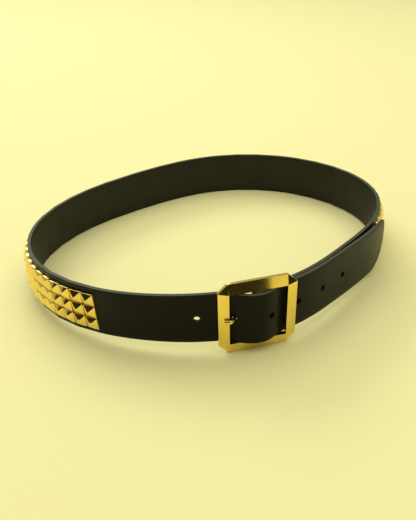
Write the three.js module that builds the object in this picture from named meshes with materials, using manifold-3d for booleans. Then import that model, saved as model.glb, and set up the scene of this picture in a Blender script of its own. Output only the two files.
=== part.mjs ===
// A studded leather belt, buckled into its worn loop and standing on its edge.
// Millimetres, +Z up. Seen from above the strap runs anticlockwise: it starts folded round
// the buckle's centre bar, goes right, round the back and the left, and comes back to the
// front through the buckle, where its free end lies outside the first ply.
import * as THREE from 'three';
import { mergeVertices } from 'three/addons/utils/BufferGeometryUtils.js';
import Module from 'manifold-3d';

const wasm = await Module();
wasm.setup();

// Strap
const strapWidth = 38;
const strapThickness = 2.8;
const edgeChamfer = 0.5;
const plyGap = 0.3;
const stationStep = 8;
const bendStep = 2.2;
const foldStep = 1.25;

// Loop seen from above: a circle with waves round it. Bearings run anticlockwise from +X.
const loopRadius = 128;
const loopWaves = [
  { waves: 2, share: 0.1165, bearing: 28.8 },
  { waves: 3, share: 0.0205, bearing: 52.6 },
  { waves: 4, share: 0.02, bearing: 11.7 },
  { waves: 5, share: 0.0046, bearing: 2.7 },
];
const buckleBearing = -78.3;

// Outward lean of the strap's wall, in degrees, round the loop
const leanWaves = [
  { waves: 0, degrees: -0.3, bearing: 0 },
  { waves: 1, degrees: 0.9, bearing: -72 },
  { waves: 2, degrees: 2.1, bearing: 79.5 },
  { waves: 3, degrees: 1.1, bearing: 3.7 },
];

// Free end, past the buckle
const freeEndLength = 138;
const tipGap = 3;
const tipGapStart = 0.45;
const tipGapPower = 1.3;

// Holes, counted from the one the prong sits in
const holeDiameter = 4.2;
const holeSpacing = 24;
const prongHole = -14;
const holesBefore = 1;
const holesAfter = 4;

// Fold round the centre bar
const tabLength = 24;
const tabCloseLength = 11;
const slotLength = 7.2;
const slotSideGap = 0.6;

// Buckle frame: a cast rectangle with cut corners, its faces falling back from the window outward
const windowWidth = 38.4;
const windowClearance = 0.7;
const sideBarWidth = 6.9;
const crossBarWidth = 7.7;
const frameThickness = 3.2;
const faceFall = 1.9;
const backFall = 0.8;
const cornerCut = 6.5;
const centreBarDiameter = 2.8;
const centreBarSetback = 2.9;
const leftSeatGap = 1.9;
const rightSeatGap = 1.1;
const humpOverrun = 1.8;
const humpPower = 0.62;

// Prong
const prongWidth = 3.2;
const prongThickness = 2.2;
const prongGap = 0.3;
const prongOverBar = 3.7;
const prongStep = 1;

// Studs: rows of square pyramids on a low wall
const studPitch = 9.9;
const studSize = 9.5;
const studWall = 1;
const studHeight = 3.6;
const studWeb = 0.4;
const studGap = 0.3;
const studMargin = 4;
const plainBeforeBuckle = 104.6;
const studToTip = 7;

// Rivet that closes the fold
const rivetPlace = 14.5;
const rivetShankDiameter = 3.2;
const rivetHeadDiameter = 6.4;
const rivetHeadThickness = 0.8;
const rivetGap = 0.3;

// Sides of round things, and how close two corners are one
const roundSides = 16;
const prongSides = 12;
const eyeSides = 24;
const sameCorner = 1e-4;
const loopSteps = 1440;
const probe = 0.05;

const plyStep = strapThickness + plyGap;
const centreBarRadius = centreBarDiameter / 2;
const foldRadius = centreBarRadius + plyGap + strapThickness / 2;
const frameWidth = windowWidth + 2 * sideBarWidth;
const windowHeight = strapWidth + 2 * windowClearance;
const frameHeight = windowHeight + 2 * crossBarWidth;
const buckleLift = crossBarWidth + windowClearance;
const humpReach = windowWidth / 2 + humpOverrun;

const rad = THREE.MathUtils.degToRad;
const fade = (x) => 0.5 + 0.5 * Math.cos(Math.PI * Math.min(Math.abs(x), 1));

function loopPoint(bearing) {
  let radius = loopRadius;
  for (const row of loopWaves) {
    radius += loopRadius * row.share * Math.cos(row.waves * (bearing - rad(row.bearing)));
  }
  return new THREE.Vector2(radius * Math.cos(bearing), radius * Math.sin(bearing));
}

// Length along the loop from the buckle, one entry for each small step of bearing
const loopTable = [{ bearing: rad(buckleBearing), length: 0 }];
for (let i = 1; i <= loopSteps; i++) {
  const bearing = rad(buckleBearing) + (2 * Math.PI * i) / loopSteps;
  const last = loopTable[i - 1];
  const step = loopPoint(bearing).distanceTo(loopPoint(last.bearing));
  loopTable.push({ bearing, length: last.length + step });
}
const loopLength = loopTable[loopSteps].length;

function bearingAt(along) {
  const turns = Math.floor(along / loopLength);
  const rest = along - turns * loopLength;
  let low = 0;
  let high = loopSteps;
  while (high - low > 1) {
    const middle = Math.floor((low + high) / 2);
    if (loopTable[middle].length > rest) high = middle;
    else low = middle;
  }
  const a = loopTable[low];
  const b = loopTable[high];
  const share = (rest - a.length) / (b.length - a.length);
  return a.bearing + (b.bearing - a.bearing) * share + 2 * Math.PI * turns;
}

// Unit vector to the right of the way from a to b: outward, as the strap runs
function rightOf(a, b) {
  const way = b.clone().sub(a).normalize();
  return new THREE.Vector2(way.y, -way.x);
}

// Point and outward normal of a plan curve
function curveFrame(curve, along) {
  return { point: curve(along), normal: rightOf(curve(along - probe), curve(along + probe)) };
}

const loopCurve = (along) => loopPoint(bearingAt(along));

// Share of the step from the single ply on the left to the outer ply on the right
function plyShare(along) {
  if (along <= -humpReach) return 0;
  if (along >= humpReach) return 1;
  return 0.5 + 0.5 * Math.sin((Math.PI * along) / (2 * humpReach));
}

// The frame lies on the strap at the inner edges of its side bars
function offLoop(along, offset) {
  const { point, normal } = curveFrame(loopCurve, along);
  return point.addScaledVector(normal, offset);
}
const seatReach = windowWidth / 2;
const leftSeat = offLoop(-seatReach, strapThickness / 2 + leftSeatGap);
const rightSeat = offLoop(seatReach, plyStep + strapThickness / 2 + rightSeatGap);
const frameAlong = rightSeat.clone().sub(leftSeat).normalize();
const frameOut = new THREE.Vector2(frameAlong.y, -frameAlong.x);
const frontPlane = leftSeat.dot(frameOut) + frameThickness;

// The hump lifts the outer ply over the fold and the centre bar
const humpTop = frontPlane - centreBarSetback + foldRadius + plyStep;
const crown = curveFrame(loopCurve, 0);
const humpRise = (humpTop - crown.point.dot(frameOut)) / crown.normal.dot(frameOut) - plyStep / 2;

// Middle line of the outer ply; `along` is the loop's length from the buckle
function outerPly(along) {
  return offLoop(along, plyStep * plyShare(along) + humpRise * fade(along / humpReach) ** humpPower);
}

// The same line moved inward by `depth`
function inside(along, depth) {
  const { point, normal } = curveFrame(outerPly, along);
  return point.addScaledVector(normal, -depth);
}

// The free end stands off the studded ply toward its tip
function freeEnd(along) {
  const share = (along / freeEndLength - tipGapStart) / (1 - tipGapStart);
  const gap = share > 0 ? tipGap * share ** tipGapPower : 0;
  return inside(along, -gap);
}

const barAxis = inside(0, plyStep + foldRadius);

// Half turn of the leather round the centre bar, from its inner side to its outer side
function foldCurve(share) {
  const start = inside(0, plyStep + 2 * foldRadius).sub(barAxis);
  return start.rotateAround(new THREE.Vector2(0, 0), Math.PI * share).add(barAxis);
}

// The tab runs back under the main ply and closes onto it
function tabCurve(along) {
  return inside(along, 2 * plyStep + (2 * foldRadius - plyStep) * fade(along / tabCloseLength));
}

// Height and lean of the strap, both even across the buckle
function stance(along) {
  const bearing = bearingAt(along);
  let degrees = 0;
  for (const row of leanWaves) {
    degrees += row.degrees * Math.cos(row.waves * (bearing - rad(row.bearing)));
  }
  const near = along - loopLength * Math.round(along / loopLength);
  const lean = rad(degrees) * (1 - fade(near / (2 * frameWidth)));
  const lift = buckleLift * ((1 + Math.cos(bearing - rad(buckleBearing))) / 2) ** 2;
  return { lean, lift: lift + (strapThickness / 2) * Math.abs(Math.sin(lean)) };
}

// A station: where the section sits, and its outward and upward directions
function station(point, normal, along) {
  const { lean, lift } = stance(along);
  const level = new THREE.Vector3(normal.x, normal.y, 0);
  const out = level.clone().multiplyScalar(Math.cos(lean)).setZ(-Math.sin(lean));
  const up = level.clone().multiplyScalar(Math.sin(lean)).setZ(Math.cos(lean));
  return { origin: new THREE.Vector3(point.x, point.y, lift), out, up, size: 1 };
}

function place(at, across, height) {
  return at.origin.clone()
    .addScaledVector(at.out, across * at.size)
    .addScaledVector(at.up, height * at.size);
}

function stationOn(curve, along) {
  const { point, normal } = curveFrame(curve, along);
  return station(point, normal, along);
}

// Whole strap, station by station, from the tab's end to the free tip
function mainCurve(along) {
  return along < loopLength / 2 ? inside(along, plyStep) : freeEnd(along - loopLength);
}

function steps(from, to, step) {
  const count = Math.max(1, Math.round(Math.abs(to - from) / step));
  return Array.from({ length: count + 1 }, (_, i) => from + ((to - from) * i) / count);
}

function foldStations(tabFrom, mainTo) {
  const list = [];
  for (const along of steps(tabFrom, 0, bendStep)) {
    const normal = rightOf(tabCurve(along + probe), tabCurve(along - probe));
    list.push(station(tabCurve(along), normal, 0));
  }
  const foldCount = Math.ceil((Math.PI * foldRadius) / foldStep);
  for (let i = 1; i < foldCount; i++) {
    const share = i / foldCount;
    const point = foldCurve(share);
    list.push(station(point, point.clone().sub(barAxis).normalize(), 0));
  }
  for (const along of steps(0, mainTo, bendStep)) list.push(stationOn(mainCurve, along));
  return list;
}

function strapStations() {
  const list = foldStations(tabLength, humpReach);
  const stretches = [
    { from: humpReach, to: loopLength - humpReach, step: stationStep },
    { from: loopLength - humpReach, to: loopLength + humpReach, step: bendStep },
    { from: loopLength + humpReach, to: loopLength + freeEndLength, step: stationStep },
  ];
  for (const { from, to, step } of stretches) {
    for (const along of steps(from, to, step).slice(1)) list.push(stationOn(mainCurve, along));
  }
  return list;
}

// A closed solid from triangles whose corners are given in turn, seen from outside
function solidOf(corners) {
  const values = corners.flatMap((p) => p.toArray());
  const geometry = new THREE.BufferGeometry();
  geometry.setAttribute('position', new THREE.Float32BufferAttribute(values, 3));
  return mergeVertices(geometry, sameCorner);
}

function quad(corners, a, b, c, d) {
  corners.push(a, b, c, a, c, d);
}

// Sweeps a section of [across, height] points through stations and closes both ends
function sweep(stations, section) {
  const rings = stations.map((at) => section.map(([across, height]) => place(at, across, height)));
  const corners = [];
  const sides = section.length;
  for (let i = 0; i + 1 < rings.length; i++) {
    for (let k = 0; k < sides; k++) {
      const next = (k + 1) % sides;
      quad(corners, rings[i][k], rings[i + 1][k], rings[i + 1][next], rings[i][next]);
    }
  }
  const last = rings[rings.length - 1];
  for (let k = 1; k + 1 < sides; k++) {
    corners.push(rings[0][0], rings[0][k], rings[0][k + 1]);
    corners.push(last[0], last[k + 1], last[k]);
  }
  return solidOf(corners);
}

// Upright rectangle between two heights
function slab(thickness, low, high) {
  const half = thickness / 2;
  return [[half, low], [half, high], [-half, high], [-half, low]];
}

// The strap's own section, with chamfered edges
function strapSection() {
  const half = strapThickness / 2;
  const low = 0;
  const high = strapWidth;
  const c = edgeChamfer;
  return [
    [half - c, low], [half, low + c], [half, high - c], [half - c, high],
    [c - half, high], [-half, high - c], [-half, low + c], [c - half, low],
  ];
}

function toManifold(geometry) {
  const bare = geometry.clone();
  bare.deleteAttribute('normal');
  bare.deleteAttribute('uv');
  const merged = mergeVertices(bare, sameCorner);
  return new wasm.Manifold(new wasm.Mesh({
    numProp: 3,
    vertProperties: new Float32Array(merged.getAttribute('position').array),
    triVerts: new Uint32Array(merged.getIndex().array),
  }));
}

function fromManifold(solid) {
  const mesh = solid.getMesh();
  const geometry = new THREE.BufferGeometry();
  geometry.setAttribute('position', new THREE.BufferAttribute(mesh.vertProperties, 3));
  geometry.setIndex(new THREE.BufferAttribute(mesh.triVerts, 1));
  return geometry;
}

function cut(geometry, tools) {
  let solid = toManifold(geometry);
  for (const tool of tools) solid = solid.subtract(toManifold(tool));
  return fromManifold(solid);
}

function join(geometries) {
  return fromManifold(geometries.map(toManifold).reduce((sum, piece) => sum.add(piece)));
}

// Round pin through the strap's middle height at a station, between two distances across it
function pin(at, diameter, from, to) {
  const geometry = new THREE.CylinderGeometry(diameter / 2, diameter / 2, to - from, roundSides);
  const turn = new THREE.Quaternion().setFromUnitVectors(new THREE.Vector3(0, 1, 0), at.out);
  geometry.applyQuaternion(turn);
  const middle = place(at, (from + to) / 2, strapWidth / 2);
  return geometry.translate(middle.x, middle.y, middle.z);
}

const rivetAt = stationOn((along) => inside(along, plyStep), rivetPlace);
const rivetOuter = strapThickness / 2;
const rivetInner = -strapThickness / 2 - plyStep;

function rivetSeats() {
  const head = rivetHeadDiameter + 2 * rivetGap;
  const depth = rivetHeadThickness + rivetGap;
  const past = plyGap / 3;
  return [
    pin(rivetAt, rivetShankDiameter + 2 * rivetGap, rivetInner - past, rivetOuter + past),
    pin(rivetAt, head, rivetOuter - depth, rivetOuter + past),
    pin(rivetAt, head, rivetInner - past, rivetInner + depth),
  ];
}

// Place that lies a length of leather away from another, both on the outer ply
const leatherStep = 0.25;
function stepAlong(from, length) {
  const step = leatherStep * Math.sign(length);
  let along = from;
  let left = Math.abs(length);
  while (left > 0) {
    left -= freeEnd(along).distanceTo(freeEnd(along + step));
    along += step;
  }
  return along;
}

function makeStrap() {
  const body = sweep(strapStations(), strapSection());
  const past = plyGap / 3;
  const tools = [];
  for (let i = -holesBefore; i <= holesAfter; i++) {
    const at = stationOn(freeEnd, stepAlong(prongHole, i * holeSpacing));
    const half = strapThickness / 2 + past;
    tools.push(pin(at, holeDiameter, -half, half));
  }
  const slotHalf = prongWidth / 2 + slotSideGap;
  const middle = strapWidth / 2;
  const slot = slab(strapThickness + 2 * past, middle - slotHalf, middle + slotHalf);
  tools.push(sweep(foldStations(slotLength, slotLength), slot));
  return cut(body, [...tools, ...rivetSeats()]);
}

function makeRivet() {
  const h = rivetHeadThickness;
  return join([
    pin(rivetAt, rivetShankDiameter, rivetInner + h / 2, rivetOuter - h / 2),
    pin(rivetAt, rivetHeadDiameter, rivetOuter - h, rivetOuter),
    pin(rivetAt, rivetHeadDiameter, rivetInner, rivetInner + h),
  ]);
}

// Plan place in the frame's own terms: along it from the centre bar, and out from its front plane
const barAlong = barAxis.dot(frameAlong);
function framePlan(u, v) {
  return new THREE.Vector2(0, 0)
    .addScaledVector(frameAlong, barAlong + u)
    .addScaledVector(frameOut, frontPlane + v);
}

function framePoint(u, v, z) {
  const plan = framePlan(u, v);
  return new THREE.Vector3(plan.x, plan.y, z);
}

// Outer outline with cut corners, anticlockwise from the right bar's lower end
function frameOutline() {
  const u = frameWidth / 2;
  const c = cornerCut;
  const h = frameHeight;
  return [
    [u, c], [u, h - c], [u - c, h], [c - u, h], [-u, h - c], [-u, c], [c - u, 0], [u - c, 0],
  ];
}

// Window corners, in step with the outline's four cut corners
function windowOutline() {
  const u = windowWidth / 2;
  const low = crossBarWidth;
  const high = crossBarWidth + windowHeight;
  return [[u, low], [u, high], [-u, high], [-u, low]];
}

function makeFrameRing() {
  const rim = frameOutline();
  const hole = windowOutline();
  const corners = [];
  const at = ([u, z], v) => framePoint(u, v, z);
  const inner = -frameThickness;
  const back = -frameThickness - backFall;
  for (let i = 0; i < hole.length; i++) {
    const a = rim[2 * i];
    const b = rim[2 * i + 1];
    const c = rim[(2 * i + 2) % rim.length];
    const p = hole[i];
    const q = hole[(i + 1) % hole.length];
    quad(corners, at(a, -faceFall), at(b, -faceFall), at(q, 0), at(p, 0));
    corners.push(at(b, -faceFall), at(c, -faceFall), at(q, 0));
    quad(corners, at(b, back), at(a, back), at(p, inner), at(q, inner));
    corners.push(at(c, back), at(b, back), at(q, inner));
    quad(corners, at(a, back), at(b, back), at(b, -faceFall), at(a, -faceFall));
    quad(corners, at(b, back), at(c, back), at(c, -faceFall), at(b, -faceFall));
    quad(corners, at(q, inner), at(p, inner), at(p, 0), at(q, 0));
  }
  return solidOf(corners);
}

function makeBuckle() {
  const length = windowHeight + crossBarWidth;
  const bar = new THREE.CylinderGeometry(centreBarRadius, centreBarRadius, length, roundSides);
  bar.rotateX(Math.PI / 2);
  bar.translate(barAxis.x, barAxis.y, frameHeight / 2);
  return join([makeFrameRing(), bar]);
}

// The prong's oval section
function prongSection() {
  return Array.from({ length: prongSides }, (_, i) => {
    const turn = (2 * Math.PI * i) / prongSides;
    return [(prongThickness / 2) * Math.cos(turn), (prongWidth / 2) * Math.sin(turn)];
  });
}

// Eye of the prong, a ring round the centre bar
const eyeRadius = centreBarRadius + prongGap + prongThickness / 2;
function makeProngEye() {
  const ring = prongSection().map(([across, height]) => new THREE.Vector2(eyeRadius + across, height));
  ring.push(ring[0].clone());
  const geometry = new THREE.LatheGeometry(ring, eyeSides);
  geometry.rotateX(Math.PI / 2);
  return geometry.translate(barAxis.x, barAxis.y, frameHeight / 2);
}

// The prong's middle line: behind the outer ply, up through its hole, and onto the left bar
const prongDip = 0.7;
function prongRoute() {
  const hole = curveFrame(freeEnd, prongHole);
  const clear = strapThickness / 2 + prongThickness / 2 + prongGap;
  const barEdge = windowWidth / 2;
  const rest = prongThickness / 2 + prongGap;
  const tipRest = rest - (faceFall * prongOverBar) / sideBarWidth;
  const points = [
    framePlan(-eyeRadius, -centreBarSetback),
    inside(prongHole * prongDip, clear + prongGap),
    hole.point.clone().addScaledVector(hole.normal, -clear),
    hole.point,
    hole.point.clone().addScaledVector(hole.normal, clear),
    framePlan(-barEdge + prongGap, rest),
    framePlan(-barEdge - prongOverBar, tipRest),
  ];
  const route = points.map((p) => new THREE.Vector3(p.x, p.y, frameHeight / 2));
  return new THREE.CatmullRomCurve3(route, false, 'centripetal');
}

// Stations along the prong, closing in over its rounded tip
const tipTurns = [30, 50, 68, 80];
function prongStations() {
  const route = prongRoute();
  const length = route.getLength();
  const round = prongWidth / 2;
  const rows = steps(0, length - round, prongStep).map((far) => ({ far, size: 1 }));
  for (const turn of tipTurns.map(rad)) {
    rows.push({ far: length - round + round * Math.sin(turn), size: Math.cos(turn) });
  }
  return rows.map(({ far, size }) => {
    const way = route.getTangentAt(far / length);
    return {
      origin: route.getPointAt(far / length),
      out: new THREE.Vector3(way.y, -way.x, 0),
      up: new THREE.Vector3(0, 0, 1),
      size,
    };
  });
}

function makeProng() {
  return join([makeProngEye(), sweep(prongStations(), prongSection())]);
}

// The stud field is one metal skin: a thin web that follows the strap, with a pyramid on a low
// wall in each square. Rows lie on the strap's middle height. These are distances from the
// strap's middle line.
const webBack = strapThickness / 2 + studGap;
const webFace = webBack + studWeb;
const wallTop = webFace + studWall;
const studPeak = webFace + studHeight;

// Heights of the studs' lower and upper sides, in turn
function studHeights() {
  const rows = Math.floor((strapWidth - 2 * studMargin + studPitch - studSize) / studPitch);
  const low = (strapWidth - (rows - 1) * studPitch - studSize) / 2;
  const list = [];
  for (let row = 0; row < rows; row++) list.push(low + row * studPitch, low + row * studPitch + studSize);
  return list;
}

// Stations at the studs' near and far sides, in turn, counted back from the column by the buckle
function studStations() {
  const first = freeEndLength - studToTip;
  const last = loopLength - plainBeforeBuckle;
  const columns = Math.floor((last - first) / studPitch);
  const list = [];
  for (let column = columns - 1; column >= 0; column--) {
    const end = last - column * studPitch;
    list.push(stationOn(mainCurve, end - studSize), stationOn(mainCurve, end));
  }
  return list;
}

// Corners of a square between two stations and two heights, at a distance from the middle line
function square(a, b, low, high, across) {
  return [place(a, across, low), place(b, across, low), place(b, across, high), place(a, across, high)];
}

function addPyramid(corners, a, b, low, high) {
  const base = square(a, b, low, high, webFace);
  const wall = square(a, b, low, high, wallTop);
  const middle = wall.reduce((sum, p) => sum.add(p), new THREE.Vector3()).divideScalar(wall.length);
  const tip = middle.addScaledVector(a.out.clone().add(b.out).normalize(), studPeak - wallTop);
  for (let side = 0; side < wall.length; side++) {
    const next = (side + 1) % wall.length;
    quad(corners, base[side], base[next], wall[next], wall[side]);
    corners.push(wall[side], wall[next], tip);
  }
}

// Back, lower and upper sides of the web between two stations
function addWebStrip(corners, a, b, bottom, crest) {
  quad(corners, ...square(b, a, bottom, crest, webBack));
  quad(corners, place(a, webBack, bottom), place(b, webBack, bottom), place(b, webFace, bottom),
    place(a, webFace, bottom));
  quad(corners, place(b, webBack, crest), place(a, webBack, crest), place(a, webFace, crest),
    place(b, webFace, crest));
}

// End of the web, as a fan from its lower back corner
function addWebEnd(corners, at, heights, far) {
  const pivot = place(at, webBack, heights[0]);
  const ring = [place(at, webBack, heights[heights.length - 1])];
  for (const height of heights.toReversed()) ring.push(place(at, webFace, height));
  for (let k = 0; k + 1 < ring.length; k++) {
    if (far) corners.push(pivot, ring[k], ring[k + 1]);
    else corners.push(pivot, ring[k + 1], ring[k]);
  }
}

function makeStuds() {
  const heights = studHeights();
  const edges = studStations();
  const corners = [];
  for (let i = 0; i + 1 < edges.length; i++) {
    const [a, b] = [edges[i], edges[i + 1]];
    for (let k = 0; k + 1 < heights.length; k++) {
      const between = i % 2 === 1 || k % 2 === 1;
      if (between) quad(corners, ...square(a, b, heights[k], heights[k + 1], webFace));
      else addPyramid(corners, a, b, heights[k], heights[k + 1]);
    }
    addWebStrip(corners, a, b, heights[0], heights[heights.length - 1]);
  }
  addWebEnd(corners, edges[0], heights, false);
  addWebEnd(corners, edges[edges.length - 1], heights, true);
  return solidOf(corners);
}

const leather = new THREE.MeshStandardMaterial({ color: 0x1b1c18, roughness: 0.45, metalness: 0 });
const gold = new THREE.MeshStandardMaterial({ color: 0xd9ab4a, roughness: 0.15, metalness: 1 });

function named(name, geometry, material) {
  const flat = geometry.index ? geometry.toNonIndexed() : geometry;
  flat.computeVertexNormals();
  const mesh = new THREE.Mesh(flat, material);
  mesh.name = name;
  return mesh;
}

const belt = new THREE.Group();
belt.add(
  named('strap', makeStrap(), leather),
  named('studs', makeStuds(), gold),
  named('buckle_frame', makeBuckle(), gold),
  named('prong', makeProng(), gold),
  named('fold_rivet', makeRivet(), gold),
);

// The origin is under the middle of the belt's box, where it stands
const box = new THREE.Box3().setFromObject(belt);
belt.position.set(-(box.min.x + box.max.x) / 2, -(box.min.y + box.max.y) / 2, -box.min.z);
belt.updateMatrixWorld(true);

export default belt;
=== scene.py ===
import math
import random

import bmesh
import bpy
from mathutils import Matrix, Vector


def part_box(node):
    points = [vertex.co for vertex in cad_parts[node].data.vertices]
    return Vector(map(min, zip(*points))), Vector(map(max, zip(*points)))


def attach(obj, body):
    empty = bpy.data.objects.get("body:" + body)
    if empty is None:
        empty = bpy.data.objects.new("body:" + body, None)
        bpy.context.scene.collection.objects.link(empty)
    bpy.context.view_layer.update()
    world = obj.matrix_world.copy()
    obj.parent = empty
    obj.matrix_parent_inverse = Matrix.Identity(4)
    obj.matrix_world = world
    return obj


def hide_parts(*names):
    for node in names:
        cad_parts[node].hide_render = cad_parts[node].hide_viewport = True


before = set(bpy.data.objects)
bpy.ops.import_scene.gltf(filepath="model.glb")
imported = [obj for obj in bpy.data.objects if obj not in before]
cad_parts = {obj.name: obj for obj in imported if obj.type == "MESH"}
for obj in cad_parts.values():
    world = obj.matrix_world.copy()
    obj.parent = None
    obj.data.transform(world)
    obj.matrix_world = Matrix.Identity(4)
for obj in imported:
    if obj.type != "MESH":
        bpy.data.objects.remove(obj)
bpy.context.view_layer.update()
mm = 0.001

# Camera and studio

camera = {
    "lens": 39.2,
    "sensorWidth": 36.0,
    "nearest": 10.0,
    "place": (-3.1, -408.1, 248.5),
    "pitch": 32.0,  # degrees down from the horizon
    "roll": -2.16,
}
studio = {
    "floorSize": 9000.0,
    "floorColour": "#F6EFA8",
    "floorRoughness": 0.85,
    "skyColour": "#F2EEDC",
    "skyStrength": 0.5,
    "flagColour": "#1A1610",
    "flagRoughness": 0.9,
}
# Softboxes: where each stands, what it points at, its size and its power in watts
softboxes = [
    {"name": "overhead", "place": (0, 250, 1400), "target": (0, 250, 0),
     "size": (2200, 2200), "watts": 16.0},
    {"name": "backKey", "place": (-1250, 2100, 1750), "target": (0, 0, 0),
     "size": (2400, 900), "watts": 30.0},
]
# Black cards standing on the floor. Only reflections show them: they are the metal's dark side.
flags = [
    {"name": "leftFlag", "start": (-401, -138), "end": (-310, -303), "height": 500},
    {"name": "frontFlag", "start": (-310, -303), "end": (145, -300), "height": 800},
    {"name": "rightFlag", "start": (185, -245), "end": (225, -150), "height": 200},
]


def linear(hexColour):
    # sRGB hex to linear RGBA
    values = [int(hexColour[i:i + 2], 16) / 255 for i in (1, 3, 5)]
    return tuple(v / 12.92 if v <= 0.04045 else ((v + 0.055) / 1.055) ** 2.4 for v in values) + (1.0,)


def addNode(tree, kind, inputs=None, **settings):
    # An input is a plain value or a (node, output name) pair
    node = tree.nodes.new(kind)
    for name, value in settings.items():
        setattr(node, name, value)
    for name, value in (inputs or {}).items():
        if isinstance(value, tuple) and isinstance(value[0], bpy.types.Node):
            tree.links.new(value[0].outputs[value[1]], node.inputs[name])
        else:
            node.inputs[name].default_value = value
    return node


def newMaterial(name):
    material = bpy.data.materials.new(name)
    material.use_nodes = True
    material.node_tree.nodes.clear()
    return material, material.node_tree


def finishMaterial(tree, shader):
    addNode(tree, "ShaderNodeOutputMaterial", {"Surface": (shader, "BSDF")})


def makeObject(name, vertices, faces):
    mesh = bpy.data.meshes.new(name)
    mesh.from_pydata([Vector(v) * mm for v in vertices], [], faces)
    piece = bpy.data.objects.new(name, mesh)
    bpy.context.collection.objects.link(piece)
    return piece


def makeCamera():
    data = bpy.data.cameras.new("camera")
    data.lens = camera["lens"]
    data.sensor_width = camera["sensorWidth"]
    data.clip_start = camera["nearest"] * mm
    holder = bpy.data.objects.new("camera", data)
    place = Matrix.Translation(Vector(camera["place"]) * mm)
    tip = Matrix.Rotation(math.radians(90 - camera["pitch"]), 4, "X")
    roll = Matrix.Rotation(math.radians(camera["roll"]), 4, "Z")
    holder.matrix_world = place @ tip @ roll
    bpy.context.collection.objects.link(holder)
    bpy.context.scene.camera = holder


def makeSoftbox(box):
    data = bpy.data.lights.new(box["name"], "AREA")
    data.shape = "RECTANGLE"
    data.size = box["size"][0] * mm
    data.size_y = box["size"][1] * mm
    data.energy = box["watts"]
    lamp = bpy.data.objects.new(box["name"], data)
    lamp.visible_camera = False
    lamp.location = Vector(box["place"]) * mm
    way = (Vector(box["target"]) - Vector(box["place"])) * mm
    lamp.rotation_euler = way.to_track_quat("-Z", "Y").to_euler()
    bpy.context.collection.objects.link(lamp)


def makeSky():
    world = bpy.data.worlds.new("studioSky")
    world.use_nodes = True
    tree = world.node_tree
    tree.nodes.clear()
    sky = addNode(tree, "ShaderNodeBackground",
                  {"Color": linear(studio["skyColour"]), "Strength": studio["skyStrength"]})
    addNode(tree, "ShaderNodeOutputWorld", {"Surface": (sky, "Background")})
    bpy.context.scene.world = world


def makeFloorMaterial():
    # Matt photographic paper: even, with no gloss
    material, tree = newMaterial("paperSweep")
    shader = addNode(tree, "ShaderNodeBsdfPrincipled",
                     {"Base Color": linear(studio["floorColour"]),
                      "Roughness": studio["floorRoughness"]})
    finishMaterial(tree, shader)
    return material


def makeFloor():
    half = studio["floorSize"] / 2
    corners = [(-half, -half, 0), (half, -half, 0), (half, half, 0), (-half, half, 0)]
    floor = makeObject("floor", corners, [(0, 1, 2, 3)])
    floor.data.materials.append(makeFloorMaterial())


def makeFlag(card, material):
    (x0, y0), (x1, y1), high = card["start"], card["end"], card["height"]
    corners = [(x0, y0, 0), (x1, y1, 0), (x1, y1, high), (x0, y0, high)]
    piece = makeObject(card["name"], corners, [(0, 1, 2, 3)])
    piece.data.materials.append(material)
    piece.visible_camera = piece.visible_diffuse = piece.visible_shadow = False


def makeFlagMaterial():
    # Black flag cloth: matt
    material, tree = newMaterial("blackFlagCloth")
    shader = addNode(tree, "ShaderNodeBsdfPrincipled",
                     {"Base Color": linear(studio["flagColour"]),
                      "Roughness": studio["flagRoughness"]})
    finishMaterial(tree, shader)
    return material


bpy.context.scene.view_settings.view_transform = "Standard"
makeCamera()
makeSky()
for box in softboxes:
    makeSoftbox(box)
makeFloor()
flagMaterial = makeFlagMaterial()
for card in flags:
    makeFlag(card, flagMaterial)
print("studio: camera, sky, softboxes, floor and black cards")

# The strap's route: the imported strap's curve, with the leather pared where it folds

route = {
    "width": 38.0,
    "thickness": 2.8,
    "plyGap": 0.3,
    "loopRadius": 128.0,
    # radius waves round the loop: how many, share of the radius, bearing of the first crest
    "loopWaves": [(2, 0.1165, 28.8), (3, 0.0205, 52.6), (4, 0.02, 11.7), (5, 0.0046, 2.7)],
    "buckleBearing": -78.3,
    # outward lean of the wall in degrees: waves, size, bearing
    "leanWaves": [(0, -0.3, 0.0), (1, 0.9, -72.0), (2, 2.1, 79.5), (3, 1.1, 3.7)],
    "buckleLift": 8.4,
    "freeEnd": 138.0,
    "tipGap": 3.0,
    "tipGapStart": 0.45,
    "tipGapPower": 1.3,
    "windowWidth": 38.4,
    "frameWidth": 52.2,
    "frameThickness": 3.2,
    "leftSeatGap": 1.9,
    "rightSeatGap": 1.1,
    "barRadius": 1.4,
    "barSetback": 2.9,
    "humpOverrun": 1.8,
    "humpPower": (0.62, 1.0),  # left and right of the bar
    "foldThickness": 2.0,  # pared where it turns round the bar
    "pareLength": 20.0,
    "tab": 24.0,
    "tabClose": 11.0,
    "tableSteps": 1440,
    "probe": 0.05,
}
plyStep = route["thickness"] + route["plyGap"]
foldRadius = route["barRadius"] + route["plyGap"] + route["foldThickness"] / 2
humpReach = route["windowWidth"] / 2 + route["humpOverrun"]


def fade(x):
    # 1 at 0, easing to 0 at 1 and beyond, on either side
    return 0.5 + 0.5 * math.cos(math.pi * min(abs(x), 1))


def loopPoint(bearing):
    radius = route["loopRadius"]
    for waves, share, crest in route["loopWaves"]:
        radius += route["loopRadius"] * share * math.cos(waves * (bearing - math.radians(crest)))
    return Vector((radius * math.cos(bearing), radius * math.sin(bearing)))


def makeLoopTable():
    # Bearing and length along the loop, from the buckle round
    start = math.radians(route["buckleBearing"])
    rows = [(start, 0.0)]
    for i in range(1, route["tableSteps"] + 1):
        bearing = start + 2 * math.pi * i / route["tableSteps"]
        step = (loopPoint(bearing) - loopPoint(rows[-1][0])).length
        rows.append((bearing, rows[-1][1] + step))
    return rows


loopTable = makeLoopTable()
loopLength = loopTable[-1][1]


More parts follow.
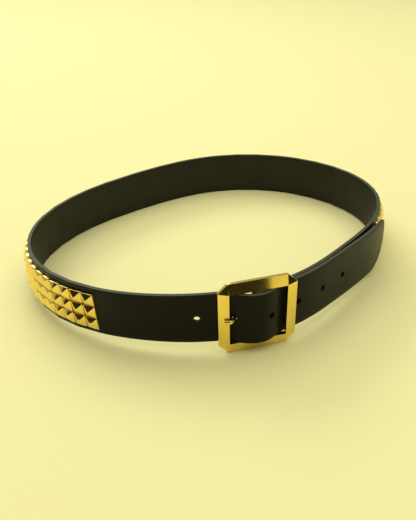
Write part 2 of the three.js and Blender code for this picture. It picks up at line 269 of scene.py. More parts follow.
def bearingAt(along):
    # Bearing of a place given by its length along the loop
    turns = math.floor(along / loopLength)
    rest = along - turns * loopLength
    low, high = 0, route["tableSteps"]
    while high - low > 1:
        middle = (low + high) // 2
        if loopTable[middle][1] > rest:
            high = middle
        else:
            low = middle
    (bearingA, lengthA), (bearingB, lengthB) = loopTable[low], loopTable[high]
    share = (rest - lengthA) / (lengthB - lengthA)
    return bearingA + (bearingB - bearingA) * share + 2 * math.pi * turns


def curveFrame(curve, along):
    # Point of a curve and the direction out of the loop there
    way = (curve(along + route["probe"]) - curve(along - route["probe"])).normalized()
    return curve(along), Vector((way.y, -way.x))


def offLoop(along, offset):
    point, normal = curveFrame(lambda s: loopPoint(bearingAt(s)), along)
    return point + normal * offset


def plyShare(along):
    # 0 where the outer ply still lies on the loop, 1 where it lies over the other ply
    if abs(along) >= humpReach:
        return 0.0 if along < 0 else 1.0
    return 0.5 + 0.5 * math.sin(math.pi * along / (2 * humpReach))


seatReach = route["windowWidth"] / 2
leftSeat = offLoop(-seatReach, route["thickness"] / 2 + route["leftSeatGap"])
rightSeat = offLoop(seatReach, plyStep + route["thickness"] / 2 + route["rightSeatGap"])
frameAlong = (rightSeat - leftSeat).normalized()
frameOut = Vector((frameAlong.y, -frameAlong.x))
frontPlane = leftSeat.dot(frameOut) + route["frameThickness"]
crown, crownNormal = curveFrame(lambda s: loopPoint(bearingAt(s)), 0.0)


def pared(along):
    # Thickness of the folded end, from the bar outward
    grown = 1 - fade(along / route["pareLength"])
    return route["foldThickness"] + (route["thickness"] - route["foldThickness"]) * grown


def foldDepth(along):
    # From the outer ply's middle to the middle of the folded ply behind it
    return (route["thickness"] + pared(along)) / 2 + route["plyGap"]


humpTop = frontPlane - route["barSetback"] + foldRadius + foldDepth(0.0)
humpRise = (humpTop - crown.dot(frameOut)) / crownNormal.dot(frameOut) - plyStep / 2


def outerPly(along):
    # Middle of the ply that rises over the bar
    leftPower, rightPower = route["humpPower"]
    hump = humpRise * fade(along / humpReach) ** (leftPower if along < 0 else rightPower)
    return offLoop(along, plyStep * plyShare(along) + hump)


def inside(along, depth):
    # Place that lies a depth inside the outer ply's middle
    point, normal = curveFrame(outerPly, along)
    return point - normal * depth


def freeEnd(along):
    # Middle of the free end, which stands off near its tip
    start = route["tipGapStart"]
    share = (along / route["freeEnd"] - start) / (1 - start)
    gap = route["tipGap"] * share ** route["tipGapPower"] if share > 0 else 0.0
    return inside(along, -gap)


def mainCurve(along):
    return inside(along, foldDepth(along)) if along < loopLength / 2 else freeEnd(along - loopLength)


barAxis = inside(0.0, foldDepth(0.0) + foldRadius)


def foldCurve(share):
    # Round the bar, from the front ply at 0 to the ply behind at 1
    start = inside(0.0, foldDepth(0.0) + 2 * foldRadius) - barAxis
    turn = Matrix.Rotation(math.pi * share, 2)
    return barAxis + turn @ start


def tabCurve(along):
    # The ply behind, which closes on the front one away from the bar
    closed = pared(along) + route["plyGap"]
    spread = (2 * foldRadius - closed) * fade(along / route["tabClose"])
    return inside(along, foldDepth(along) + closed + spread)


def stance(along):
    # Lean and lift of the strap, both even across the buckle
    bearing = bearingAt(along)
    degrees = sum(size * math.cos(waves * (bearing - math.radians(crest)))
                  for waves, size, crest in route["leanWaves"])
    near = along - loopLength * round(along / loopLength)
    lean = math.radians(degrees) * (1 - fade(near / (2 * route["frameWidth"])))
    toBuckle = (1 + math.cos(bearing - math.radians(route["buckleBearing"]))) / 2
    lift = route["buckleLift"] * toBuckle ** 2
    return lean, lift + route["thickness"] / 2 * abs(math.sin(lean))


def makeStation(point, normal, along, share=1.0):
    # A place on the strap: foot, outward and upward directions, and share of the full thickness
    lean, lift = stance(along)
    out = Vector((normal.x * math.cos(lean), normal.y * math.cos(lean), -math.sin(lean)))
    up = Vector((normal.x * math.sin(lean), normal.y * math.sin(lean), math.cos(lean)))
    return {"origin": Vector((point.x, point.y, lift)), "out": out, "up": up, "share": share}


def stationOn(curve, along):
    point, normal = curveFrame(curve, along)
    return makeStation(point, normal, along)


def placeOn(station, across, height):
    return station["origin"] + station["out"] * across + station["up"] * height


def steps(start, end, step):
    # Even places from start to end, about a step apart
    count = max(1, round(abs(end - start) / step))
    return [start + (end - start) * i / count for i in range(count + 1)]


# Mesh helpers

def sweepRings(rings):
    # Closed skin through rings of points, with one face over each end
    sides = len(rings[0])
    vertices = [point for ring in rings for point in ring]
    faces = []
    for i in range(len(rings) - 1):
        for k in range(sides):
            n = (k + 1) % sides
            faces.append((i * sides + k, (i + 1) * sides + k, (i + 1) * sides + n, i * sides + n))
    last = (len(rings) - 1) * sides
    faces.append(tuple(range(sides)))
    faces.append(tuple(last + k for k in reversed(range(sides))))
    return vertices, faces


def applyModifiers(piece):
    graph = bpy.context.evaluated_depsgraph_get()
    mesh = bpy.data.meshes.new_from_object(piece.evaluated_get(graph))
    old = piece.data
    piece.modifiers.clear()
    piece.data = mesh
    bpy.data.meshes.remove(old)


def subtract(piece, cutters):
    for cutter in cutters:
        modifier = piece.modifiers.new("cut", "BOOLEAN")
        modifier.operation = "DIFFERENCE"
        modifier.solver = "EXACT"
        modifier.object = cutter
    applyModifiers(piece)
    for cutter in cutters:
        bpy.data.objects.remove(cutter)


def shadeSmooth(piece, degrees):
    piece.data.shade_smooth()
    piece.data.set_sharp_from_angle(angle=math.radians(degrees))


def boxMiddle(points):
    low = Vector([min(p[i] for p in points) for i in range(3)])
    high = Vector([max(p[i] for p in points) for i in range(3)])
    return (low + high) / 2


# Studs' places along the strap, shared with the strap so that it lies flat under each

studField = {
    "pitch": 9.9,
    "size": 9.25,
    "wall": 1.6,
    "height": 4.2,
    "seat": 0.05,
    "rounding": 0.3,
    "roundingSteps": 2,
    "margin": 4.0,
    "plainBeforeBuckle": 104.6,
    "toTip": 7.0,
    "tiltDegrees": 0.7,
    "seed": 7,
    "sharpFrom": 32.0,
    # The strap bends between columns, at some gaps far more than at others
    "runColumns": (1, 4),
    "runSeed": 11,
    "runRise": 0.5,  # most that a run may cut inside the even curve
    "bendReach": 2.2,
    "edgeKeepOff": 0.2,
}


def studColumns():
    # Start of each column, from the one behind the free tip to the one by the buckle
    first = route["freeEnd"] - studField["toTip"]
    last = loopLength - studField["plainBeforeBuckle"]
    count = math.floor((last - first) / studField["pitch"])
    return [last - (count - 1 - i) * studField["pitch"] - studField["size"] for i in range(count)]


def studRows():
    # Middle height of each row
    room = route["width"] - 2 * studField["margin"] + studField["pitch"] - studField["size"]
    count = math.floor(room / studField["pitch"])
    return [route["width"] / 2 + (i - (count - 1) / 2) * studField["pitch"] for i in range(count)]


def runRise(low, high):
    # How far the straight run between two places lies inside the even curve
    return (mainCurve((low + high) / 2) - (mainCurve(low) + mainCurve(high)) / 2).length


def bendPlaces():
    # Gaps where the strap bends, so that a few columns at a time lie in one plane
    dice = random.Random(studField["runSeed"])
    gap = (studField["pitch"] - studField["size"]) / 2
    gaps = [start - gap for start in columnStarts] + [columnStarts[-1] + studField["size"] + gap]
    places, column = [gaps[0]], 0
    while column < len(columnStarts):
        count = min(dice.randint(*studField["runColumns"]), len(columnStarts) - column)
        while count > 1 and runRise(gaps[column], gaps[column + count]) > studField["runRise"]:
            count -= 1
        column += count
        places.append(gaps[column])
    return places


columnStarts = studColumns()
rowHeights = studRows()
bends = bendPlaces()


def beltCurve(along):
    # The strap as it lies: straight runs under the studs, a smooth curve elsewhere
    for low, high in zip(bends, bends[1:]):
        if low <= along <= high:
            return mainCurve(low).lerp(mainCurve(high), (along - low) / (high - low))
    return mainCurve(along)


def beltStation(along):
    # The way is taken over a few millimetres, so that a bend is rounded
    reach = studField["bendReach"]
    way = (beltCurve(along + reach) - beltCurve(along - reach)).normalized()
    return makeStation(beltCurve(along), Vector((way.y, -way.x)), along)


# Materials. Tones are a darker and a lighter colour, which noise mixes.

# The olive-yellow tint in the face, back, edge and rubbed tones is painted bounce light from the yellow
# floor.
leather = {
    "faceTones": ("#070703", "#0C0B05"),
    "faceRoughness": (0.26, 0.36),
    "faceSpecular": 0.14,
    "faceCloud": 14.0,
    "rubbedTone": "#1D1B13",
    "rubbedWidth": 1.6,
    "poreSpacing": 0.8,
    "poreDepth": 0.06,
    "backTones": ("#151506", "#21200B"),
    "backRoughness": (0.46, 0.58),
    "backSpecular": 0.3,
    "backCloud": 22.0,
    "napSize": 1.2,
    "napDepth": 0.08,
    "edgeTones": ("#2A2B12", "#4A4C28"),
    "edgeRoughness": 0.52,
    "fibreWidth": 0.5,
    "fibreDepth": 0.08,
    # near-black tones of the hole walls: painted shade inside the holes
    "wallShadeTones": ("#070604", "#100F0A"),
    "wallRoughness": 0.95,
    "wallSpecular": 0.08,
    "wallFibre": 0.4,
    "ior": 1.5,
    "cloudRange": (0.3, 0.7),
}
planUnit = 100.0  # millimetres to one unit of the strapPlan UV map


def wornEdges(tree):
    # 1 along the strap's cut edges, fading to 0 a little way in
    plan = addNode(tree, "ShaderNodeUVMap", uv_map="strapPlan")
    parts = addNode(tree, "ShaderNodeSeparateXYZ", {"Vector": (plan, "UV")})
    half = route["width"] / 2 / planUnit
    away = addNode(tree, "ShaderNodeMath", {0: (parts, "Y"), 1: half}, operation="SUBTRACT")
    far = addNode(tree, "ShaderNodeMath", {0: (away, "Value")}, operation="ABSOLUTE")
    return addNode(tree, "ShaderNodeMapRange",
                   {"Value": (far, "Value"), "From Min": half - leather["rubbedWidth"] / planUnit,
                    "From Max": half})


def makeStrapFace():
    # Coated split leather, plated smooth: black, satin, with a slow unevenness in the gloss.
    # Its pores lie about 0.4 mm apart and are drawn at 0.8 mm, or they wouldn't show.
    material, tree = newMaterial("platedLeather")
    dark, light = leather["faceTones"]
    smooth, rough = leather["faceRoughness"]
    low, high = leather["cloudRange"]
    place = addNode(tree, "ShaderNodeTexCoord")
    pores = addNode(tree, "ShaderNodeTexVoronoi",
                    {"Vector": (place, "Object"), "Scale": 1 / (leather["poreSpacing"] * mm)})
    cloud = addNode(tree, "ShaderNodeTexNoise",
                    {"Vector": (place, "Object"), "Scale": 1 / (leather["faceCloud"] * mm),
                     "Detail": 3.0})
    tone = addNode(tree, "ShaderNodeMix",
                   {"Factor": (cloud, "Fac"), "A": linear(dark), "B": linear(light)}, data_type="RGBA")
    rubbed = addNode(tree, "ShaderNodeMix",
                     {"Factor": (wornEdges(tree), "Result"), "A": (tone, "Result"),
                      "B": linear(leather["rubbedTone"])}, data_type="RGBA")
    gloss = addNode(tree, "ShaderNodeMapRange",
                    {"Value": (cloud, "Fac"), "From Min": low, "From Max": high,
                     "To Min": smooth, "To Max": rough})
    bump = addNode(tree, "ShaderNodeBump",
                   {"Height": (pores, "Distance"), "Strength": 0.12,
                    "Distance": leather["poreDepth"] * mm})
    shader = addNode(tree, "ShaderNodeBsdfPrincipled",
                     {"Base Color": (rubbed, "Result"), "Roughness": (gloss, "Result"),
                      "IOR": leather["ior"], "Specular IOR Level": leather["faceSpecular"],
                      "Normal": (bump, "Normal")})
    finishMaterial(tree, shader)
    return material


def makeStrapBack():
    # The strap's back, finished but not plated: a little rougher and lighter than the face. Its
    # olive-yellow tint is painted bounce light from the yellow floor.
    material, tree = newMaterial("finishedLeatherBack")
    dark, light = leather["backTones"]
    smooth, rough = leather["backRoughness"]
    low, high = leather["cloudRange"]
    place = addNode(tree, "ShaderNodeTexCoord")
    nap = addNode(tree, "ShaderNodeTexNoise",
                  {"Vector": (place, "Object"), "Scale": 1 / (leather["napSize"] * mm), "Detail": 4.0,
                   "Roughness": 0.6})
    cloud = addNode(tree, "ShaderNodeTexNoise",
                    {"Vector": (place, "Object"), "Scale": 1 / (leather["backCloud"] * mm),
                     "Detail": 2.0})
    tone = addNode(tree, "ShaderNodeMix",
                   {"Factor": (cloud, "Fac"), "A": linear(dark), "B": linear(light)}, data_type="RGBA")
    gloss = addNode(tree, "ShaderNodeMapRange",
                    {"Value": (cloud, "Fac"), "From Min": low, "From Max": high,
                     "To Min": smooth, "To Max": rough})
    bump = addNode(tree, "ShaderNodeBump",
                   {"Height": (nap, "Fac"), "Strength": 0.18, "Distance": leather["napDepth"] * mm})
    shader = addNode(tree, "ShaderNodeBsdfPrincipled",
                     {"Base Color": (tone, "Result"), "Roughness": (gloss, "Result"),
                      "IOR": leather["ior"], "Specular IOR Level": leather["backSpecular"],
                      "Normal": (bump, "Normal")})
    finishMaterial(tree, shader)
    return material


def makeStrapEdge():
    # Cut and dressed edge: lighter than the face and matt, with fine fibres. Its olive-yellow tint is
    # painted bounce light from the yellow floor.
    # The fibres are 0.1 mm and are drawn at 0.5 mm.
    material, tree = newMaterial("dressedLeatherEdge")
    dark, light = leather["edgeTones"]
    place = addNode(tree, "ShaderNodeTexCoord")
    fibres = addNode(tree, "ShaderNodeTexNoise",
                     {"Vector": (place, "Object"), "Scale": 1 / (leather["fibreWidth"] * mm),
                      "Detail": 3.0, "Roughness": 0.7})
    tone = addNode(tree, "ShaderNodeMix",
                   {"Factor": (fibres, "Fac"), "A": linear(dark), "B": linear(light)}, data_type="RGBA")
    bump = addNode(tree, "ShaderNodeBump",
                   {"Height": (fibres, "Fac"), "Strength": 0.25, "Distance": leather["fibreDepth"] * mm})
    shader = addNode(tree, "ShaderNodeBsdfPrincipled",
                     {"Base Color": (tone, "Result"), "Roughness": leather["edgeRoughness"],
                      "IOR": leather["ior"], "Normal": (bump, "Normal")})
    finishMaterial(tree, shader)
    return material


def makeHoleWall():
    # Punched fibres inside a hole, fuzzy and dull. Their near-black colour is painted shade inside the
    # hole.
    material, tree = newMaterial("punchedLeatherWall")
    dark, light = leather["wallShadeTones"]
    place = addNode(tree, "ShaderNodeTexCoord")
    fibres = addNode(tree, "ShaderNodeTexNoise",
                     {"Vector": (place, "Object"), "Scale": 1 / (leather["wallFibre"] * mm),
                      "Detail": 2.0})
    tone = addNode(tree, "ShaderNodeMix",
                   {"Factor": (fibres, "Fac"), "A": linear(dark), "B": linear(light)}, data_type="RGBA")
    shader = addNode(tree, "ShaderNodeBsdfPrincipled",
                     {"Base Color": (tone, "Result"), "Roughness": leather["wallRoughness"],
                      "IOR": leather["ior"], "Specular IOR Level": leather["wallSpecular"]})
    finishMaterial(tree, shader)
    return material


# Die-cast zinc alloy, polished and flash plated gold: near a mirror
casting = {
    "name": "polishedGoldPlating",
    "tones": ("#F8DF80", "#F0D268"),
    "roughness": 0.1,
    "scratch": 0.12,
}
# Pressed brass sheet, gold plated: bright, a little softer than the casting
pressing = {
    "name": "pressedGoldStuds",
    "tones": ("#F8E088", "#F0D068"),
    "roughness": 0.14,
    "scratch": 0.2,
}
# What both platings share: sizes in millimetres, and the gloss as shares of the roughness
plating = {
    "cloud": 9.0,
    "markWidth": 0.7,
    "markDepth": 0.02,
    "markRange": (0.3, 0.8),
    "glossShares": (0.7, 1.5),
}


def makePlating(metal):
    # Gold-coloured plating on a bright metal: a mirror tinted yellow, softened by handling marks.
    # The marks are finer than 0.1 mm and are drawn at 0.7 mm.
    material, tree = newMaterial(metal["name"])
    bright, deep = metal["tones"]
    low, high = plating["markRange"]
    smooth, rough = [metal["roughness"] * share for share in plating["glossShares"]]
    place = addNode(tree, "ShaderNodeTexCoord")
    cloud = addNode(tree, "ShaderNodeTexNoise",
                    {"Vector": (place, "Object"), "Scale": 1 / (plating["cloud"] * mm), "Detail": 3.0})
    marks = addNode(tree, "ShaderNodeTexNoise",
                    {"Vector": (place, "Object"), "Scale": 1 / (plating["markWidth"] * mm),
                     "Detail": 5.0, "Roughness": 0.7})
    tone = addNode(tree, "ShaderNodeMix",
                   {"Factor": (cloud, "Fac"), "A": linear(bright), "B": linear(deep)},
                   data_type="RGBA")
    gloss = addNode(tree, "ShaderNodeMapRange",
                    {"Value": (marks, "Fac"), "From Min": low, "From Max": high,
                     "To Min": smooth, "To Max": rough})
    bump = addNode(tree, "ShaderNodeBump",
                   {"Height": (marks, "Fac"), "Strength": metal["scratch"],
                    "Distance": plating["markDepth"] * mm})
    shader = addNode(tree, "ShaderNodeBsdfPrincipled",
                     {"Base Color": (tone, "Result"), "Roughness": (gloss, "Result"), "Metallic": 1.0,
                      "Normal": (bump, "Normal")})
    finishMaterial(tree, shader)
    return material


# Strap

strap = {
    "edgeRound": 0.6,
    "edgeRoundSteps": 4,
    "grooveWidth": 0.34,
    "grooveDepth": 0.14,
    "faceRows": 10,
    "plainStep": 1.6,
    "bendStep": 0.8,
    "foldStep": 0.45,
    "underStud": (0.02, 0.18, 0.5, 0.82, 0.98),  # rows under a stud, as shares of its size
    "fieldMargin": 1.0,
    "measureStep": 0.25,
    "holeDiameter": 4.2,
    "holeRim": 0.45,
    "holeSpacing": 24.0,
    "prongHole": -14.0,
    "prongHoleDiameter": 3.4,  # the leather has closed round the prong
    "holesBefore": 1,
    "holesAfter": 4,
    "slotLength": 7.2,
    "slotWidth": 4.4,
    "rivetPlace": 14.5,
    "rivetSeat": 3.6,
    "rivetShank": 1.9,
    "rivetDepth": 1.1,
    "punchSides": 40,
    "sharpFrom": 38.0,
    # The free end is cut round: how far its middle stands past the square end, the middle's
    # height, and how far its lower and upper corner are cut back
    "tipReach": 5.0,
    "tipMiddle": 21.0,
    "tipCuts": (24.0, 5.0),
    "tipLength": 26.0,
}
cutPast = route["plyGap"] / 3  # how far a cutter stands out of the leather
grooveCorners = 3
quarterTurn = [math.radians(degrees) for degrees in (0, 30, 60, 90)]


def strapSection():
    # Points of (across, height) round the section, from the outer face's foot: up the outer face,
    # over the upper edge with its groove, down the inner face and under the lower edge
    half, high, r = route["thickness"] / 2, route["width"], strap["edgeRound"]
    groove = strap["grooveWidth"] / 2

    def corner(middleAcross, middleHeight, start):
        rows = strap["edgeRoundSteps"]
        turns = [math.radians(start + 90 * i / rows) for i in range(rows + 1)]
        return [(middleAcross + r * math.cos(t), middleHeight + r * math.sin(t)) for t in turns]

    points = corner(half - r, r, -90)
    points += [(half, h) for h in steps(r, high - r, (high - 2 * r) / strap["faceRows"])[1:-1]]
    points += corner(half - r, high - r, 0)
    points += [(groove, high), (0, high - strap["grooveDepth"]), (-groove, high)]
    points += corner(r - half, high - r, 90)
    points += [(-half, h) for h in steps(high - r, r, (high - 2 * r) / strap["faceRows"])[1:-1]]
    points += corner(r - half, r, 180)
    points += [(-groove, 0), (0, strap["grooveDepth"]), (groove, 0)]
    return points


def strapPlaces():
    # Places along the main ply, closer together where the strap bends
    bendEnd = loopLength - humpReach
    places = steps(humpReach, bendEnd, strap["plainStep"])[1:]
    places += steps(bendEnd, loopLength + humpReach, strap["bendStep"])[1:]
    places += steps(loopLength + humpReach, loopLength + route["freeEnd"], strap["plainStep"])[1:]
    fieldStart = columnStarts[0] - strap["fieldMargin"]
    fieldEnd = columnStarts[-1] + studField["size"] + strap["fieldMargin"]
    plain = [s for s in places if not fieldStart < s < fieldEnd]
    field = [start + studField["size"] * share for start in columnStarts for share in strap["underStud"]]
    return sorted(plain + field + bends)


def foldStations(tabFrom, mainTo):
    # From the tab behind the bar, round the bar and on to the main ply
    rows = []
    for along in steps(tabFrom, 0, strap["bendStep"]):
        point, normal = curveFrame(tabCurve, along)
        rows.append(makeStation(point, -normal, 0.0, pared(along) / route["thickness"]))
    count = math.ceil(math.pi * foldRadius / strap["foldStep"])
    shareAtBar = pared(0) / route["thickness"]
    for i in range(1, count):
        point = foldCurve(i / count)
        rows.append(makeStation(point, (point - barAxis).normalized(), 0.0, shareAtBar))
    for along in steps(0, mainTo, strap["bendStep"]):
        point, normal = curveFrame(mainCurve, along)
        rows.append(makeStation(point, normal, along, pared(along) / route["thickness"]))
    return rows


def roundedTip(along, height):
    # Place along the strap once its square end is cut round, further back near the edges
    start = loopLength + route["freeEnd"] - strap["tipLength"]
    if along <= start:
        return along
    lower = height < strap["tipMiddle"]
    reach = strap["tipMiddle"] if lower else route["width"] - strap["tipMiddle"]
    off = abs(height - strap["tipMiddle"]) / reach
    cut = strap["tipCuts"][0 if lower else 1] * (1 - math.sqrt(1 - off * off))
    return start + (along - start) * (1 + (strap["tipReach"] - cut) / strap["tipLength"])


def tipCap(sides, first):
    # Faces over the free end: a row of quads up it, between the two faces' points, which mirror
    # each other, and one more face at either edge, with the groove
    top = sides // 2 - grooveCorners - 1
    innerFoot = sides - grooveCorners - 1
    rows = [(k, k + 1, innerFoot - k - 1, innerFoot - k) for k in range(top)]
    rows.append(range(top, top + grooveCorners + 2))
    rows.append([k % sides for k in range(innerFoot, sides + 1)])
    return [[first + k for k in row] for row in rows]


def placeAlongLeather(start, length):
    # Place that lies a length of leather away, measured along the outer ply
    step = math.copysign(strap["measureStep"], length)
    along, left = start, abs(length)
    while left > 0:
        left -= (freeEnd(along + step) - freeEnd(along)).length
        along += step
    return along


def turnedRings(station, profile):
    # Rings round an axis through the strap's middle height, from rows of (across, radius)
    turns = [2 * math.pi * k / strap["punchSides"] for k in range(strap["punchSides"])]
    side = station["out"].cross(station["up"])
    rings = []
    for across, radius in profile:
        middle = placeOn(station, across, route["width"] / 2)
        rings.append([middle + (station["up"] * math.sin(t) + side * math.cos(t)) * radius
                      for t in turns])
    return rings


def makeCutter(name, rings):
    cutter = makeObject(name, *sweepRings(rings))
    fixNormals(cutter)
    cutter.data.materials.append(strapMaterials["hole"])
    return cutter


def fixNormals(piece):
    work = bmesh.new()
    work.from_mesh(piece.data)
    bmesh.ops.recalc_face_normals(work, faces=work.faces)
    work.to_mesh(piece.data)
    work.free()


def holeProfile(diameter):
    # A punched hole: straight, with a rim that rolls in at both faces
    half, r, rim = route["thickness"] / 2, diameter / 2, strap["holeRim"]
    upper = [(half - rim * (1 - math.sin(t)), r + rim * (1 - math.cos(t))) for t in quarterTurn]
    upper.append((half + rim, r + rim))
    return [(-across, radius) for across, radius in reversed(upper)] + upper


def makeHoles():
    cutters = []
    for i in range(-strap["holesBefore"], strap["holesAfter"] + 1):
        at = stationOn(freeEnd, placeAlongLeather(strap["prongHole"], i * strap["holeSpacing"]))
        diameter = strap["holeDiameter"] if i else strap["prongHoleDiameter"]
        cutters.append(makeCutter(f"punch{i}", turnedRings(at, holeProfile(diameter))))
    return cutters


def makeSlot():
    # The prong's slot, cut round the fold
    low = (route["width"] - strap["slotWidth"]) / 2
    high = (route["width"] + strap["slotWidth"]) / 2
    rings = []
    for station in foldStations(strap["slotLength"], strap["slotLength"]):
        half = route["thickness"] / 2 * station["share"] + cutPast
        section = [(half, low), (half, high), (-half, high), (-half, low)]
        rings.append([placeOn(station, across, height) for across, height in section])
    return makeCutter("slot", rings)


def rivetStation():
    return stationOn(lambda s: inside(s, foldDepth(s)), strap["rivetPlace"])


def rivetFaces():
    # Outer and inner face of the two folded plies, from the front one's middle
    thick = pared(strap["rivetPlace"])
    return thick / 2, -thick * 1.5 - route["plyGap"]


def makeRivetSeats():
    at = rivetStation()
    outer, inner = rivetFaces()
    deep, seat, shank = strap["rivetDepth"], strap["rivetSeat"], strap["rivetShank"]
    rows = {
        "rivetShank": [(inner - cutPast, shank), (outer + cutPast, shank)],
        "rivetFront": [(outer - deep, seat), (outer + cutPast, seat)],
        "rivetBack": [(inner - cutPast, seat), (inner + deep, seat)],
    }
    return [makeCutter(name, turnedRings(at, profile)) for name, profile in rows.items()]


def finishOfSide(a, b):
    # Slot index of a side of the section: 0 outer face, 1 cut edge, 2 inner face
    across, height = b[1] - a[1], a[0] - b[0]
    if abs(height) > abs(across):
        return 1
    return 0 if across > 0 else 2


def addStrapPlan(mesh, section, stations):
    # UV map in plan units: length along the strap, and height up it
    layer = mesh.uv_layers.new(name="strapPlan")
    lengths = [0.0]
    for a, b in zip(stations, stations[1:]):
        lengths.append(lengths[-1] + (b["origin"] - a["origin"]).length)
    sides = len(section)
    for loop in mesh.loops:
        row, k = divmod(loop.vertex_index, sides)
        layer.data[loop.index].uv = (lengths[row] / planUnit, section[k][1] / planUnit)


def tipRings(section, places):
    # The last rings, each point moved back along the strap to the rounded end
    return [[placeOn(beltStation(roundedTip(s, height)), across, height) for across, height in section]
            for s in places]


def makeStrap():
    section = strapSection()
    places = strapPlaces()
    stations = foldStations(route["tab"], humpReach) + [beltStation(s) for s in places]
    rings = [[placeOn(station, across * station["share"], height) for across, height in section]
             for station in stations]
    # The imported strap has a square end, so its box is compared before the end is cut round
    shift = boxMiddle(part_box("strap")) / mm - boxMiddle([p for ring in rings for p in ring])
    ending = [s for s in places if s > loopLength + route["freeEnd"] - strap["tipLength"]]
    rings[-len(ending):] = tipRings(section, ending)
    sides = len(section)
    vertices, faces = sweepRings(rings)
    faces[-1:] = tipCap(sides, len(vertices) - sides)
    piece = makeObject("leather_strap", vertices, faces)
    for finish in ("face", "edge", "back"):
        piece.data.materials.append(strapMaterials[finish])
    finishes = [finishOfSide(section[k], section[(k + 1) % sides]) for k in range(sides)]
    for polygon in piece.data.polygons:
        onSkin = polygon.index < sides * (len(rings) - 1)
        polygon.material_index = finishes[polygon.index % sides] if onSkin else 1
    addStrapPlan(piece.data, section, stations)
    fixNormals(piece)
    subtract(piece, makeHoles() + [makeSlot()] + makeRivetSeats())
    shadeSmooth(piece, strap["sharpFrom"])
    return piece, shift


def toFrame(piece, shift):
    # From the loop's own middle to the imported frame's origin
    piece.data.transform(Matrix.Translation(Vector((shift.x, shift.y, 0)) * mm))


def finishPiece(piece, node):
    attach(piece, "root")
    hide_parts(node)


strapMaterials = {"face": makeStrapFace(), "edge": makeStrapEdge(), "back": makeStrapBack(),
                  "hole": makeHoleWall()}
strapPiece, beltShift = makeStrap()
toFrame(strapPiece, beltShift)
finishPiece(strapPiece, "strap")
print(f"strap: {len(strapPiece.data.polygons)} faces, moved {beltShift.x:.2f}, {beltShift.y:.2f} mm")

# Studs


def makeStudForm():
    # One stud on its own axes: along the strap, up it, and out from it
    half, wall, height = studField["size"] / 2, studField["wall"], studField["height"]
    work = bmesh.new()
    square = [(-half, -half), (half, -half), (half, half), (-half, half)]
    base = [work.verts.new((x, y, studField["seat"])) for x, y in square]
    rim = [work.verts.new((x, y, wall)) for x, y in square]
    tip = work.verts.new((0, 0, height))
    work.faces.new(base[::-1])
    for k in range(4):
        n = (k + 1) % 4
        work.faces.new((base[k], base[n], rim[n], rim[k]))
        work.faces.new((rim[k], rim[n], tip))
    eased = [edge for edge in work.edges if not all(v in base for v in edge.verts)]
    bmesh.ops.bevel(work, geom=eased, offset=studField["rounding"],
                    segments=studField["roundingSteps"], profile=0.5, affect="EDGES",
                    clamp_overlap=True)
    work.verts.index_update()
    form = ([v.co.copy() for v in work.verts], [[v.index for v in face.verts] for face in work.faces])
    work.free()
    return form


def studAxes(start):
    # Middle of a column on the strap's outer face, and its three axes
    keepOff = studField["edgeKeepOff"]
    a = stationOn(beltCurve, start + keepOff)
    b = stationOn(beltCurve, start + studField["size"] - keepOff)
    middle = {key: a[key].lerp(b[key], 0.5) for key in ("origin", "out", "up")}
    along = (b["origin"] - a["origin"]).normalized()
    out = along.cross(middle["up"]).normalized()
    return middle, Matrix((along, out.cross(along), out)).transposed()


def makeStuds():
    dice = random.Random(studField["seed"])
    formVertices, formFaces = makeStudForm()
    most = math.radians(studField["tiltDegrees"])
    vertices, faces = [], []
    for start in columnStarts:
        middle, axes = studAxes(start)
        for height in rowHeights:
            seat = placeOn(middle, route["thickness"] / 2, height)
            tilt = Matrix.Rotation(dice.uniform(-most, most), 3, "X")
            tilt = tilt @ Matrix.Rotation(dice.uniform(-most, most), 3, "Y")
            first = len(vertices)
            vertices += [seat + axes @ (tilt @ v) for v in formVertices]
            faces += [[first + i for i in face] for face in formFaces]
    piece = makeObject("pyramid_studs", vertices, faces)
    piece.data.materials.append(makePlating(pressing))
    shadeSmooth(piece, studField["sharpFrom"])
    return piece


studPiece = makeStuds()
toFrame(studPiece, beltShift)
finishPiece(studPiece, "studs")
print(f"studs: {len(columnStarts)} columns of {len(rowHeights)}")

# Buckle and prong: the imported solids with their edges worked over; the rivet, turned anew

buckle = {
    "edgeRound": 0.42,
    "edgeRoundSteps": 3,
    "roundFrom": 7.0,  # degrees between two faces
    "mergeWithin": 0.001,
    "flatWithin": 0.6,  # degrees
    "barKeepOff": 3.0,
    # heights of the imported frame's edges, and where the finished casting has them
    "heights": ((0.0, 0.0), (7.7, 8.3), (47.1, 46.7), (54.8, 53.9)),
    "sharpFrom": 30.0,
    "prongVoxel": 0.16,
    "prongSmooth": 8,
    "rivetHead": 3.3,
    "rivetHeadHeight": 0.95,
    "rivetRound": 0.3,
    "rivetSeatGap": 0.1,
}


def copyOfNode(node, name):
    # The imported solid's mesh as flat faces with shared corners
    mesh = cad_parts[node].data.copy()
    mesh.materials.clear()
    work = bmesh.new()
    work.from_mesh(mesh)
    bmesh.ops.remove_doubles(work, verts=work.verts, dist=buckle["mergeWithin"] * mm)
    bmesh.ops.dissolve_limit(work, angle_limit=math.radians(buckle["flatWithin"]),
                             verts=work.verts, edges=work.edges)
    work.to_mesh(mesh)
    work.free()
    piece = bpy.data.objects.new(name, mesh)
    bpy.context.collection.objects.link(piece)
    return piece


def roundEdges(piece, keep):
    # Rounds the solid's own edges where keep says so of an edge's middle
    work = bmesh.new()
    work.from_mesh(piece.data)
    edges = [edge for edge in work.edges if edge.is_manifold
             and edge.calc_face_angle() > math.radians(buckle["roundFrom"])
             and keep((edge.verts[0].co + edge.verts[1].co) / 2 / mm)]
    bmesh.ops.bevel(work, geom=edges, offset=buckle["edgeRound"] * mm,
                    segments=buckle["edgeRoundSteps"], profile=0.5, affect="EDGES",
                    clamp_overlap=True)
    work.to_mesh(piece.data)
    work.free()


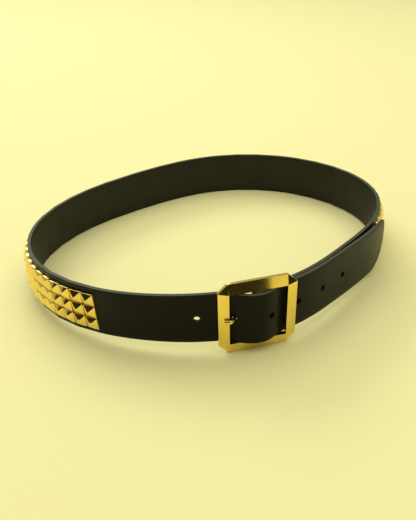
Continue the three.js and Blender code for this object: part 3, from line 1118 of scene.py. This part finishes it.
def easedHeight(height):
    # Height on the finished casting, between the edges that the table names
    for (low, newLow), (high, newHigh) in zip(buckle["heights"], buckle["heights"][1:]):
        if height <= high:
            return newLow + (newHigh - newLow) * (height - low) / (high - low)
    return buckle["heights"][-1][1]


def makeBuckleFrame():
    piece = copyOfNode("buckle_frame", "cast_buckle")
    for vertex in piece.data.vertices:
        vertex.co.z = easedHeight(vertex.co.z / mm) * mm
    bar = barAxis + beltShift.to_2d()

    def offBar(point):
        return (point.to_2d() - bar).length > buckle["barKeepOff"]

    roundEdges(piece, offBar)
    piece.data.materials.append(buckleGold)
    shadeSmooth(piece, buckle["sharpFrom"])
    return piece


def makeProng():
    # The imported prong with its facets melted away
    piece = copyOfNode("prong", "cast_prong")
    melt = piece.modifiers.new("melt", "REMESH")
    melt.mode = "VOXEL"
    melt.voxel_size = buckle["prongVoxel"] * mm
    ease = piece.modifiers.new("ease", "SMOOTH")
    ease.iterations = buckle["prongSmooth"]
    applyModifiers(piece)
    piece.data.materials.append(buckleGold)
    piece.data.shade_smooth()
    return piece


def makeRivet():
    # Turned on its axis: two low heads and the shank between them
    outer, inner = rivetFaces()
    head, thick, ease = buckle["rivetHead"], buckle["rivetHeadHeight"], buckle["rivetRound"]
    edge = [(thick - ease * (1 - math.cos(t)), head - ease * (1 - math.sin(t))) for t in quarterTurn]
    frontSeat = outer - strap["rivetDepth"] + buckle["rivetSeatGap"]
    backSeat = inner + strap["rivetDepth"] - buckle["rivetSeatGap"]
    front = [(frontSeat, head)] + [(frontSeat + h, r) for h, r in reversed(edge)]
    back = [(backSeat - h, r) for h, r in edge] + [(backSeat, head)]
    shank = strap["rivetShank"] - route["plyGap"] / 2
    rows = back + [(backSeat, shank), (frontSeat, shank)] + front
    piece = makeObject("flat_rivet", *sweepRings(turnedRings(rivetStation(), rows)))
    fixNormals(piece)
    toFrame(piece, beltShift)
    piece.data.materials.append(buckleGold)
    shadeSmooth(piece, buckle["sharpFrom"])
    return piece


buckleGold = makePlating(casting)
finishPiece(makeBuckleFrame(), "buckle_frame")
finishPiece(makeProng(), "prong")
finishPiece(makeRivet(), "fold_rivet")
print("buckle, prong and rivet: edges rounded")
